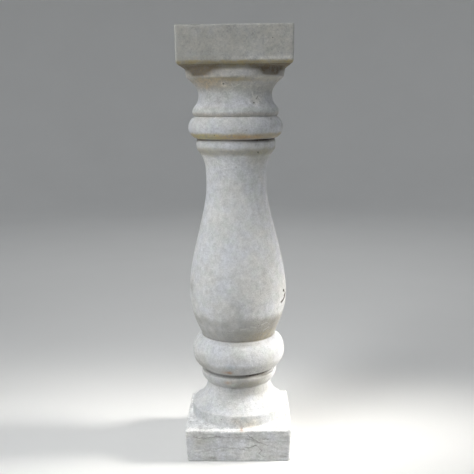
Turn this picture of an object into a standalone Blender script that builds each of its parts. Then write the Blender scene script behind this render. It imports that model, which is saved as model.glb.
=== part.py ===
"""Cast stone baluster: a square plinth and abacus with a turned double-torus shaft between them.

The whole baluster is one solid. Lengths are in metres, +Z is up, and the origin is the
middle of the plinth's underside. The front faces -Y.
"""
import math

import bmesh
import bpy
from mathutils import Matrix, Vector

NAME = "baluster"

# Square blocks. Each is a little narrower at its foot, as it left the mould.
PLINTH_HEIGHT = 0.0480
PLINTH_FOOT_WIDTH = 0.1475
PLINTH_TOP_WIDTH = 0.1510
PLINTH_TOP_ARRIS = 0.0040
PLINTH_SIDE_ARRIS = 0.0028
PLINTH_FOOT_ARRIS = 0.0016
ABACUS_HEIGHT = 0.0515
ABACUS_FOOT_WIDTH = 0.1550
ABACUS_TOP_WIDTH = 0.1564
ABACUS_TOP_ARRIS = 0.0012
ABACUS_SIDE_ARRIS = 0.0028
ABACUS_FOOT_ARRIS = 0.0038
ARRIS_SEGMENTS = 3

# Base of the shaft: a drum, a scotia, a lip and the lower torus. A margin is the flat left
# between a block's side and the shaft, and a set-back is how far a moulding's end lies inside
# its greatest radius.
DRUM_MARGIN = 0.0050
DRUM_HEIGHT = 0.0182
SCOTIA_HEIGHT = 0.0331
SCOTIA_NECK_RADIUS = 0.0468
SCOTIA_TOE_LEAN = 0.0058
SCOTIA_TOE_RISE = 0.0014
SCOTIA_NECK_PULL = 0.59
LIP_PROJECTION = 0.0088
LIP_ROUND_HEIGHT = 0.0151
LIP_ROUND_DEPTH = 0.0130
LIP_FACE_HEIGHT = 0.0027
QUIRK_SET_BACK = 0.0042
QUIRK_HEIGHT = 0.0043
LOWER_TORUS_PROJECTION = 0.0169
LOWER_TORUS_HALF_HEIGHT = 0.0261
LOWER_TORUS_DEPTH = 0.0215

# Vase: it swells from its foot to the belly and draws in to the waist.
VASE_FOOT_SET_BACK = 0.0150
VASE_FOOT_FLARE = 0.45
VASE_FOOT_PULL = 0.25
BELLY_RISE = 0.0640
BELLY_RADIUS = 0.0711
BELLY_LOWER_PULL = 0.45
BELLY_UPPER_PULL = 0.34
WAIST_RISE = 0.1609
WAIST_RADIUS = 0.0432
WAIST_LOWER_PULL = 0.27
WAIST_UPPER_PULL = 0.54
NECKING_RISE = 0.0473
NECKING_LEAN = 0.0093
NECKING_DROP = 0.19

# Cap of the shaft: a bead, the upper torus, a ring, the collar, a cavetto and the fillet.
BEAD_RADIUS = 0.0567
BEAD_HEIGHT = 0.0154
BEAD_BOW = 0.0009
UPPER_TORUS_RADIUS = 0.0676
UPPER_TORUS_HALF_HEIGHT = 0.0165
UPPER_TORUS_DEPTH = 0.0157
UPPER_TORUS_FOOT_SET_BACK = 0.0138
UPPER_TORUS_HEAD_SET_BACK = 0.0095
RING_RADIUS = 0.0616
RING_HEIGHT = 0.0130
RING_BOW = 0.0023
COLLAR_RADIUS = 0.0523
COLLAR_RISE = 0.0185
COLLAR_LEAN = 0.0045
COLLAR_TOE_RISE = 0.23
COLLAR_PULL = 0.54
CAVETTO_HEIGHT = 0.0218
CAVETTO_POWER = 1.85
CAVETTO_SET_BACK = 0.0008
FILLET_MARGIN = 0.0064
FILLET_TAPER = 0.0019
FILLET_FOOT_RISE = 0.0010
FILLET_HEIGHT = 0.0143

# Worn corners: the block, the corner's side in X and Y, its top or foot, and the loss.
WORN_CORNERS = (
    ("plinth", -1, 1, "top", 0.0045),
    ("plinth", 1, -1, "foot", 0.0030),
    ("abacus", 1, -1, "foot", 0.0036),
)
SCAR_SIZE = 0.0400

TURNED_STEPS = 48
SHARP_ANGLE = math.radians(28)
MERGE_DISTANCE = 0.00001

STONE_COLOUR = (0.60, 0.59, 0.56, 1.0)
STONE_ROUGHNESS = 0.88

# Radii that follow from the blocks, the set-backs and the projections.
DRUM_RADIUS = PLINTH_TOP_WIDTH / 2 - DRUM_MARGIN
LIP_RADIUS = SCOTIA_NECK_RADIUS + LIP_PROJECTION
QUIRK_RADIUS = LIP_RADIUS - QUIRK_SET_BACK
LOWER_TORUS_RADIUS = QUIRK_RADIUS + LOWER_TORUS_PROJECTION
FILLET_HEAD_RADIUS = ABACUS_FOOT_WIDTH / 2 - FILLET_MARGIN
FILLET_FOOT_RADIUS = FILLET_HEAD_RADIUS - FILLET_TAPER
CAVETTO_RADIUS = FILLET_FOOT_RADIUS - CAVETTO_SET_BACK


class Outline:
    """The outer side of the turned shaft, drawn upward as pairs of radius and height."""

    def __init__(self, radius, height):
        self.points = [(radius, height)]

    @property
    def height(self):
        return self.points[-1][1]

    def line(self, radius, rise):
        """Draw one straight stretch to a radius, this much higher."""
        self.points.append((radius, self.height + rise))

    def curve(self, radius, rise, leaving, arriving, count):
        """Draw a cubic curve whose handles are offsets from its two ends."""
        start = Vector(self.points[-1])
        end = Vector((radius, start.y + rise))
        first = start + Vector(leaving)
        last = end + Vector(arriving)
        for index in range(1, count + 1):
            t = index / count
            s = 1 - t
            point = s**3 * start + 3 * s * s * t * first + 3 * s * t * t * last + t**3 * end
            self.points.append(tuple(point))

    def roll(self, radius, half_height, depth, set_backs, count):
        """Draw a rounded moulding as part of an ellipse, from one end's set-back to the other's."""
        foot_set_back, head_set_back = set_backs
        start_angle = -math.acos(1 - foot_set_back / depth)
        end_angle = math.acos(1 - head_set_back / depth)
        middle = self.height - half_height * math.sin(start_angle)
        for index in range(1, count + 1):
            angle = start_angle + (end_angle - start_angle) * index / count
            across = radius - depth * (1 - math.cos(angle))
            self.points.append((across, middle + half_height * math.sin(angle)))

    def band(self, radius, bow, rise, count):
        """Draw a band whose face bows out to a radius between two equal edges."""
        foot = self.height
        for index in range(count + 1):
            t = index / count
            self.points.append((radius - bow * (2 * t - 1) ** 2, foot + rise * t))


def base_mouldings(outline):
    """Draw the drum, the scotia, the lip and the lower torus."""
    outline.line(DRUM_RADIUS, DRUM_HEIGHT)
    outline.curve(
        SCOTIA_NECK_RADIUS, SCOTIA_HEIGHT, (-SCOTIA_TOE_LEAN, SCOTIA_TOE_RISE),
        (0, -SCOTIA_NECK_PULL * SCOTIA_HEIGHT), count=9,
    )
    foot = outline.height
    reach = math.acos(1 - LIP_PROJECTION / LIP_ROUND_DEPTH)
    for step in range(1, 7):
        angle = reach * (1 - step / 6)
        rise = LIP_ROUND_HEIGHT * (1 - math.sin(angle) / math.sin(reach))
        outline.points.append((LIP_RADIUS - LIP_ROUND_DEPTH * (1 - math.cos(angle)), foot + rise))
    outline.line(LIP_RADIUS, LIP_FACE_HEIGHT)
    outline.line(QUIRK_RADIUS, 0)
    outline.line(QUIRK_RADIUS, QUIRK_HEIGHT)
    outline.roll(
        LOWER_TORUS_RADIUS, LOWER_TORUS_HALF_HEIGHT, LOWER_TORUS_DEPTH,
        (LOWER_TORUS_PROJECTION, VASE_FOOT_SET_BACK), count=14,
    )


def vase(outline):
    """Draw the swelling body up to the bead."""
    foot_rise = VASE_FOOT_PULL * BELLY_RISE
    outline.curve(
        BELLY_RADIUS, BELLY_RISE, (VASE_FOOT_FLARE * foot_rise, foot_rise),
        (0, -BELLY_LOWER_PULL * BELLY_RISE), count=8,
    )
    outline.curve(
        WAIST_RADIUS, WAIST_RISE, (0, BELLY_UPPER_PULL * WAIST_RISE),
        (0, -WAIST_LOWER_PULL * WAIST_RISE), count=11,
    )
    outline.curve(
        BEAD_RADIUS - BEAD_BOW, NECKING_RISE, (0, WAIST_UPPER_PULL * NECKING_RISE),
        (-NECKING_LEAN, -NECKING_DROP * NECKING_RISE), count=8,
    )


def cap_mouldings(outline):
    """Draw the bead, the upper torus, the ring, the collar, the cavetto and the fillet."""
    outline.band(BEAD_RADIUS, BEAD_BOW, BEAD_HEIGHT, count=4)
    outline.line(UPPER_TORUS_RADIUS - UPPER_TORUS_FOOT_SET_BACK, 0)
    outline.roll(
        UPPER_TORUS_RADIUS, UPPER_TORUS_HALF_HEIGHT, UPPER_TORUS_DEPTH,
        (UPPER_TORUS_FOOT_SET_BACK, UPPER_TORUS_HEAD_SET_BACK), count=10,
    )
    outline.band(RING_RADIUS, RING_BOW, RING_HEIGHT, count=5)
    outline.curve(
        COLLAR_RADIUS, COLLAR_RISE, (-COLLAR_LEAN, COLLAR_TOE_RISE * COLLAR_RISE),
        (0, -COLLAR_PULL * COLLAR_RISE), count=6,
    )
    foot = outline.height
    for step in range(1, 7):
        t = step / 6
        flare = (CAVETTO_RADIUS - COLLAR_RADIUS) * t**CAVETTO_POWER
        outline.points.append((COLLAR_RADIUS + flare, foot + CAVETTO_HEIGHT * t))
    outline.line(FILLET_FOOT_RADIUS, FILLET_FOOT_RISE)
    outline.line(FILLET_HEAD_RADIUS, FILLET_HEIGHT - FILLET_FOOT_RISE)


def new_object(name, mesh, collection):
    """Make an object of a mesh in one of the model's collections."""
    piece = bpy.data.objects.new(name, mesh)
    collection.objects.link(piece)
    return piece


def mesh_from(bm, name):
    """Turn a bmesh into a mesh."""
    mesh = bpy.data.meshes.new(name)
    bm.to_mesh(mesh)
    bm.free()
    return mesh


def turned_shaft(collection):
    """Turn the shaft about Z, its ends set into the two blocks, and say how high it stands."""
    outline = Outline(DRUM_RADIUS, PLINTH_HEIGHT)
    base_mouldings(outline)
    vase(outline)
    cap_mouldings(outline)
    top = outline.height
    foot_inside = PLINTH_HEIGHT / 2
    head_inside = top + ABACUS_HEIGHT / 2
    upward = [(0, foot_inside), (DRUM_RADIUS, foot_inside), *outline.points]
    upward += [(FILLET_HEAD_RADIUS, head_inside), (0, head_inside)]

    bm = bmesh.new()
    verts = [bm.verts.new((radius, 0, height)) for radius, height in reversed(upward)]
    for upper, lower in zip(verts, verts[1:]):
        bm.edges.new((upper, lower))
    bmesh.ops.remove_doubles(bm, verts=bm.verts, dist=MERGE_DISTANCE)
    shaft = new_object(NAME, mesh_from(bm, NAME), collection)
    screw = shaft.modifiers.new("Turn", "SCREW")
    screw.axis = "Z"
    screw.steps = TURNED_STEPS
    screw.render_steps = TURNED_STEPS
    screw.use_merge_vertices = True
    screw.merge_threshold = MERGE_DISTANCE
    screw.use_smooth_shade = True
    return shaft, top


def block(name, foot_width, top_width, height, arrises, collection):
    """Make a square block, its foot at the origin, with rounded arrises.

    arrises holds the radii along the top, down the sides and along the foot.
    """
    bm = bmesh.new()
    stand = Matrix.Translation((0, 0, height / 2)) @ Matrix.Rotation(math.pi / 4, 4, "Z")
    bmesh.ops.create_cone(
        bm, cap_ends=True, segments=4, radius1=foot_width / math.sqrt(2),
        radius2=top_width / math.sqrt(2), depth=height, matrix=stand,
    )
    top_arris, side_arris, foot_arris = arrises
    widest = max(arrises)
    weight = bm.edges.layers.float.new("bevel_weight_edge")
    for edge in bm.edges:
        levels = [vert.co.z > height / 2 for vert in edge.verts]
        radius = top_arris if all(levels) else side_arris if any(levels) else foot_arris
        edge[weight] = radius / widest
    piece = new_object(name, mesh_from(bm, name), collection)
    bevel = piece.modifiers.new("Arrises", "BEVEL")
    bevel.limit_method = "WEIGHT"
    bevel.offset_type = "OFFSET"
    bevel.width = widest
    bevel.segments = ARRIS_SEGMENTS
    return piece


def worn_corner(block_size, base, side_x, side_y, end, loss, collection):
    """Make a cutter that takes the tip off one corner of a block, square to its diagonal."""
    foot_width, top_width, height = block_size
    width = top_width if end == "top" else foot_width
    up = 1 if end == "top" else -1
    tip = Vector((side_x * width / 2, side_y * width / 2, base + (height if up > 0 else 0)))
    outward = Vector((side_x, side_y, up)).normalized()
    centre = tip + outward * (SCAR_SIZE / 2 - loss)
    bm = bmesh.new()
    turn = outward.to_track_quat("Z", "Y").to_matrix().to_4x4()
    bmesh.ops.create_cube(bm, size=SCAR_SIZE, matrix=Matrix.Translation(centre) @ turn)
    return new_object("worn_corner", mesh_from(bm, "worn_corner"), collection)


def combine(piece, tool, operation):
    """Join a tool to the piece or cut it away, and leave the tool as a wire guide."""
    step = piece.modifiers.new(tool.name, "BOOLEAN")
    step.operation = operation
    step.solver = "EXACT"
    step.object = tool
    tool.hide_render = True
    tool.display_type = "WIRE"


def stone():
    """Make the pale weathered stone's material."""
    material = bpy.data.materials.new("pale stone")
    material.use_nodes = True
    shader = material.node_tree.nodes["Principled BSDF"]
    shader.inputs["Base Color"].default_value = STONE_COLOUR
    shader.inputs["Roughness"].default_value = STONE_ROUGHNESS
    shader.inputs["Metallic"].default_value = 0.0
    return material


def sharpen_arrises(piece):
    """Keep edges sharper than SHARP_ANGLE crisp, and shade the rest smooth."""
    group = bpy.data.node_groups.new("Crisp arrises", "GeometryNodeTree")
    group.interface.new_socket("Geometry", in_out="INPUT", socket_type="NodeSocketGeometry")
    group.interface.new_socket("Geometry", in_out="OUTPUT", socket_type="NodeSocketGeometry")
    entry = group.nodes.new("NodeGroupInput")
    leave = group.nodes.new("NodeGroupOutput")
    angle = group.nodes.new("GeometryNodeInputMeshEdgeAngle")
    gentle = group.nodes.new("FunctionNodeCompare")
    gentle.operation = "LESS_THAN"
    gentle.inputs["B"].default_value = SHARP_ANGLE
    shade = group.nodes.new("GeometryNodeSetShadeSmooth")
    shade.domain = "EDGE"
    group.links.new(entry.outputs["Geometry"], shade.inputs["Geometry"])
    group.links.new(angle.outputs["Unsigned Angle"], gentle.inputs["A"])
    group.links.new(gentle.outputs["Result"], shade.inputs["Shade Smooth"])
    group.links.new(shade.outputs["Geometry"], leave.inputs["Geometry"])
    piece.modifiers.new("Crisp arrises", "NODES").node_group = group


def main():
    """Build the baluster."""
    for old in list(bpy.data.objects):
        bpy.data.objects.remove(old)
    model = bpy.data.collections.new(NAME)
    tools = bpy.data.collections.new("baluster tools")
    bpy.context.scene.collection.children.link(model)
    bpy.context.scene.collection.children.link(tools)

    baluster, shaft_top = turned_shaft(model)
    sizes = {
        "plinth": (PLINTH_FOOT_WIDTH, PLINTH_TOP_WIDTH, PLINTH_HEIGHT),
        "abacus": (ABACUS_FOOT_WIDTH, ABACUS_TOP_WIDTH, ABACUS_HEIGHT),
    }
    bases = {"plinth": 0.0, "abacus": shaft_top}
    arrises = {
        "plinth": (PLINTH_TOP_ARRIS, PLINTH_SIDE_ARRIS, PLINTH_FOOT_ARRIS),
        "abacus": (ABACUS_TOP_ARRIS, ABACUS_SIDE_ARRIS, ABACUS_FOOT_ARRIS),
    }
    for name, size in sizes.items():
        tool = block(name, *size, arrises[name], tools)
        tool.location.z = bases[name]
        combine(baluster, tool, "UNION")
    for name, side_x, side_y, end, loss in WORN_CORNERS:
        cutter = worn_corner(sizes[name], bases[name], side_x, side_y, end, loss, tools)
        combine(baluster, cutter, "DIFFERENCE")
    sharpen_arrises(baluster)
    baluster.data.materials.append(stone())


main()
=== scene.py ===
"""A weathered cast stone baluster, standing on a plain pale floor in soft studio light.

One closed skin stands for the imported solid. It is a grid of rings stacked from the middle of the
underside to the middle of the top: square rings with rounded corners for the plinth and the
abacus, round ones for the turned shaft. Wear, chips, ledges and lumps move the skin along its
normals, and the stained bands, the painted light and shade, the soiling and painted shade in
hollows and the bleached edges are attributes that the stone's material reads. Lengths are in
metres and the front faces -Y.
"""

import logging
import math
from dataclasses import dataclass, field
from enum import Enum, IntEnum
from typing import NamedTuple

import bpy
import numpy as np
from mathutils import Euler, Matrix, Vector


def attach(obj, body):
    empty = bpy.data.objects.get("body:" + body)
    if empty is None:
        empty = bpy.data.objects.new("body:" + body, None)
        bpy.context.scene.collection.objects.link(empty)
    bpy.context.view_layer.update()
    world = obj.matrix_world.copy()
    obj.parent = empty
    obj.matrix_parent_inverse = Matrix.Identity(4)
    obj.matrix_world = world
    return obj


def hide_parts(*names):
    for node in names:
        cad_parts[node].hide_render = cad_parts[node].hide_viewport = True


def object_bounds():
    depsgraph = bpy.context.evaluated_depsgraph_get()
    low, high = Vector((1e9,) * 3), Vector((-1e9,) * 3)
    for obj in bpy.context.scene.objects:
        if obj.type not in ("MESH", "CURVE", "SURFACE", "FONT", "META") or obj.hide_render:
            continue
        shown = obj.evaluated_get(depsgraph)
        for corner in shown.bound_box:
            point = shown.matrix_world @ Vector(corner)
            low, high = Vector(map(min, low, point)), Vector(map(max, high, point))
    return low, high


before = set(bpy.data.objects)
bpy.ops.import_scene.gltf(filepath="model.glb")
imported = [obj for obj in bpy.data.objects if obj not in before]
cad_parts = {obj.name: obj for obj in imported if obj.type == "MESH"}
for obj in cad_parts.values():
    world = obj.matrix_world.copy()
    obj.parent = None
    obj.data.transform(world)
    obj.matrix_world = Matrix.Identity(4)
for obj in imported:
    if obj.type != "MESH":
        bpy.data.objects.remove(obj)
CAD_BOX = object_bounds()

log = logging.getLogger("baluster")

Array = np.ndarray
Colour = tuple[float, float, float]
Point = tuple[float, float, float]

NODE = "baluster"
BODY = "root"

WORD = 0xFFFFFFFF  # the largest whole number that 32 bits hold
CELL_FACTORS = (374761393, 668265263, 1442695041)
SEED_FACTOR = 1274126177
MIX_FACTORS = (1103515245, 1597334677)
OCTAVE_SHIFT = 17.3  # keeps the octaves' lattices apart
NOISE_GAIN = 1.6  # widens the noise, which seldom comes near its limits
CUBIC_POINTS = 60
ROLL_POINTS = 90
BAND_POINTS = 30
ARC_POINTS = 40


class End(Enum):
    """One end of a block."""

    FOOT = -1
    TOP = 1


class Reach(Enum):
    """How far round the shaft a band of colour runs."""

    ALL_ROUND = "all round"
    ONE_SIDE = "one side"


class Seed(IntEnum):
    """Which noise each kind of wear, staining and painted shadow uses."""

    SWELL = 11
    RIPPLE = 12
    CHIP = 21
    FLAKE = 31
    UNDER_BLOCK = 41
    SPOT = 57
    CORNER = 71
    DENT = 83
    LEDGE = 91


# Numbers on whole arrays


def ease(value: Array, low: float, high: float) -> Array:
    """Rise smoothly from 0 at low to 1 at high, as 3t^2 - 2t^3.

    Args:
        value: The numbers to ease.
        low: Where the rise starts. It may be the greater of the two, for a fall.
        high: Where the rise ends.

    Returns:
        Numbers from 0 to 1, in value's shape.
    """
    t = np.clip((value - low) / (high - low), 0, 1)
    return t * t * (3 - 2 * t)


def scatter(cell: Array, seed: int) -> Array:
    """Give each cell of a lattice a fixed random number.

    The cell's three whole numbers are multiplied by large odd numbers, added, and mixed twice by
    shifting and multiplying.

    Args:
        cell: Whole-number cells, three to a row.
        seed: Which set of random numbers.

    Returns:
        A number from 0 to 1 for each row.
    """
    mixed = (cell @ np.array(CELL_FACTORS) + seed * SEED_FACTOR) & WORD
    for shift, factor in zip((13, 16), MIX_FACTORS):
        mixed = ((mixed ^ (mixed >> shift)) * factor) & WORD
    return (mixed ^ (mixed >> 15)) / WORD


def drift(points: Array, wavelength: float, seed: int, octaves: int = 1) -> Array:
    """Work out smooth noise through space.

    Each octave blends the random numbers of a lattice's eight nearest nodes by 3t^2 - 2t^3 along
    each axis. Every further octave has half the wavelength and half the strength.

    Args:
        points: Places, three coordinates to a row.
        wavelength: The first lattice's spacing.
        seed: Which noise.
        octaves: How many lattices are added.

    Returns:
        A number for each row, nearly always from -1 to 1.
    """
    total = np.zeros(len(points))
    strength, reach = 1.0, 0.0
    for octave in range(octaves):
        scaled = points / wavelength * 2**octave + OCTAVE_SHIFT * octave
        cell = np.floor(scaled).astype(np.int64)
        part = scaled - cell
        part = part * part * (3 - 2 * part)
        blend = np.zeros(len(points))
        for corner in np.ndindex(2, 2, 2):
            near = np.where(np.array(corner) == 1, part, 1 - part).prod(axis=1)
            blend += near * scatter(cell + np.array(corner), seed + octave)
        total += strength * (2 * blend - 1)
        reach += strength
        strength /= 2
    return total / reach * NOISE_GAIN


def cubic(start: Array, end: Array, leaving: Array, arriving: Array) -> Array:
    """Draw a cubic curve whose handles are offsets from its two ends.

    Args:
        start: Its first point.
        end: Its last point.
        leaving: From the start to the first handle.
        arriving: From the end to the second handle.

    Returns:
        The curve's points, as s^3 a + 3 s^2 t b + 3 s t^2 c + t^3 d.
    """
    t = np.linspace(0, 1, CUBIC_POINTS)[:, None]
    s = 1 - t
    start, end = np.asarray(start, float), np.asarray(end, float)
    first, last = start + leaving, end + arriving
    return s**3 * start + 3 * s * s * t * first + 3 * s * t * t * last + t**3 * end


def soften(line: Array, spread: float, step: float) -> Array:
    """Round a line's corners by a running average with bell-shaped weights.

    The line is carried on straight past both ends, so that they stay where they are.

    Args:
        line: Points at an even spacing.
        spread: The bell's standard deviation, along the line.
        step: The points' spacing.

    Returns:
        The softened points.
    """
    reach = int(4 * spread / step)
    bell = np.exp(-0.5 * (np.arange(-reach, reach + 1) * step / spread) ** 2)
    bell /= bell.sum()
    steps = np.arange(reach, 0, -1)[:, None]
    before = line[0] - steps * (line[1] - line[0])
    after = line[-1] + steps[::-1] * (line[-1] - line[-2])
    padded = np.vstack([before, line, after])
    return np.stack([np.convolve(padded[:, k], bell, "valid") for k in (0, 1)], axis=1)


# The baluster's forms


@dataclass(frozen=True)
class Columns:
    """The grid's columns, counted round from the front's left corner.

    Each side has its own number of them, and a few of those at both ends turn the corner.
    """

    front: int = 96
    right: int = 64
    back: int = 44
    left: int = 60
    corner: int = 4

    def steps(self) -> tuple[Array, Array, Array]:
        """Place every column on its side.

        Returns:
            The side's number, the place along it from -1 to 1 between the corners, and the
            angle turned at the corners, in radians.
        """
        counts = (self.front, self.right, self.back, self.left)
        side = np.concatenate([np.full(n, k) for k, n in enumerate(counts)])
        index = np.concatenate([np.arange(n) for n in counts]).astype(float)
        length = np.array(counts)[side]
        straight = length - 2 * self.corner
        along = np.clip((index - self.corner) / straight, 0, 1) * 2 - 1
        before = np.clip(self.corner - index, 0, None)
        after = np.clip(index - (length - self.corner), 0, None)
        turned = (after - before) / self.corner * math.pi / 4
        return side, along, turned

    def angles(self) -> Array:
        """Give each column's bearing on a round ring, even round each side."""
        counts = (self.front, self.right, self.back, self.left)
        return np.concatenate(
            [(k - 0.5 + np.arange(n) / n) * math.pi / 2 for k, n in enumerate(counts)]
        )

    def round_rings(self, radius: Array, level: Array) -> Array:
        """Make round rings: (R sin a, -R cos a, level) for a bearing a from the front."""
        angle = self.angles()[None, :]
        radius, level = np.asarray(radius)[:, None], np.asarray(level)[:, None]
        place = (radius * np.sin(angle), -radius * np.cos(angle), level + 0 * angle)
        return np.stack(place, axis=-1)

    def square_rings(self, half: Array, corner: Array, level: Array, bow: float) -> Array:
        """Make square rings with rounded corners and sides that bow out.

        A side's point is (half - corner) times its place along, plus the corner's arc, and it
        stands out by bow (1 - place^2), carried round by quarter turns.

        Args:
            half: Half of each ring's width.
            corner: Each ring's corner radius.
            level: Each ring's height.
            bow: How far the middle of each side stands out.

        Returns:
            The points, as rings by columns by three.
        """
        side, along, turned = (part[None, :] for part in self.steps())
        half, corner, level = (np.asarray(x, float)[:, None] for x in (half, corner, level))
        across = (half - corner) * along + corner * np.sin(turned)
        out = (half - corner) + corner * np.cos(turned) + bow * (1 - along**2)
        turn = side * math.pi / 2
        x = across * np.cos(turn) + out * np.sin(turn)
        y = across * np.sin(turn) - out * np.cos(turn)
        return np.stack([x, y, level + 0 * x], axis=-1)


@dataclass(frozen=True)
class Block:
    """A square block with rounded arrises, a little narrower at its foot.

    Its bow is how far the sides stand out at their middles, its twist is a turn in degrees, and
    aside is how far it stands to the right of the shaft's axis.
    """

    foot: float
    height: float
    foot_width: float
    top_width: float
    foot_arris: float
    side_arris: float
    top_arris: float
    bow: float = 0.0
    twist: float = 0.0
    aside: float = 0.0
    side_rows: int = 28
    arris_rows: int = 6
    least_corner: float = 0.2

    @property
    def top(self) -> float:
        """The height of its top face."""
        return self.foot + self.height

    def half_width(self, level: Array) -> Array:
        """Half its width at a height, growing evenly from foot to top."""
        share = (np.asarray(level) - self.foot) / self.height
        return ((1 - share) * self.foot_width + share * self.top_width) / 2

    def ring(self, columns: Columns, inset: Array, level: Array) -> Array:
        """Make its rings at these insets and heights, turned by its twist and moved aside."""
        inset = np.asarray(inset, float)
        corner = np.maximum(self.side_arris - inset, self.least_corner * self.side_arris)
        half = self.half_width(level) - inset
        rings = columns.square_rings(half, corner, level, self.bow)
        turn = np.array(Matrix.Rotation(math.radians(self.twist), 3, "Z").transposed())
        return rings @ turn + np.array([self.aside, 0, 0])

    def rings(self, columns: Columns) -> Array:
        """Make its foot arris, sides and top arris, both arrises as quarter circles.

        Args:
            columns: The grid's columns.

        Returns:
            The points, as rings by columns by three, upward.
        """
        turn = np.linspace(0, math.pi / 2, self.arris_rows)
        foot_inset = self.foot_arris * (1 - np.sin(turn))
        foot_level = self.foot + self.foot_arris * (1 - np.cos(turn))
        top_inset = self.top_arris * (1 - np.cos(turn))
        top_level = self.top - self.top_arris * (1 - np.sin(turn))
        side = np.linspace(foot_level[-1], top_level[0], self.side_rows + 2)[1:-1]
        inset = np.concatenate([foot_inset, 0 * side, top_inset])
        level = np.concatenate([foot_level, side, top_level])
        return self.ring(columns, inset, level)

    def edge_gap(self, points: Array) -> Array:
        """Measure how far points on its surface lie from its nearest edge.

        A point on a face is nothing away from that face, so the second smallest of its
        distances to the sides and ends is its distance to an edge.

        Args:
            points: Places, three coordinates to a row.

        Returns:
            The distances.
        """
        turn = np.array(Matrix.Rotation(math.radians(-self.twist), 3, "Z").transposed())
        x, y, z = ((points - np.array([self.aside, 0, 0])) @ turn).T
        half = self.half_width(z)
        gaps = np.stack([half - abs(x), half - abs(y), self.top - z, z - self.foot])
        return np.sort(abs(gaps), axis=0)[1]


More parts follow.
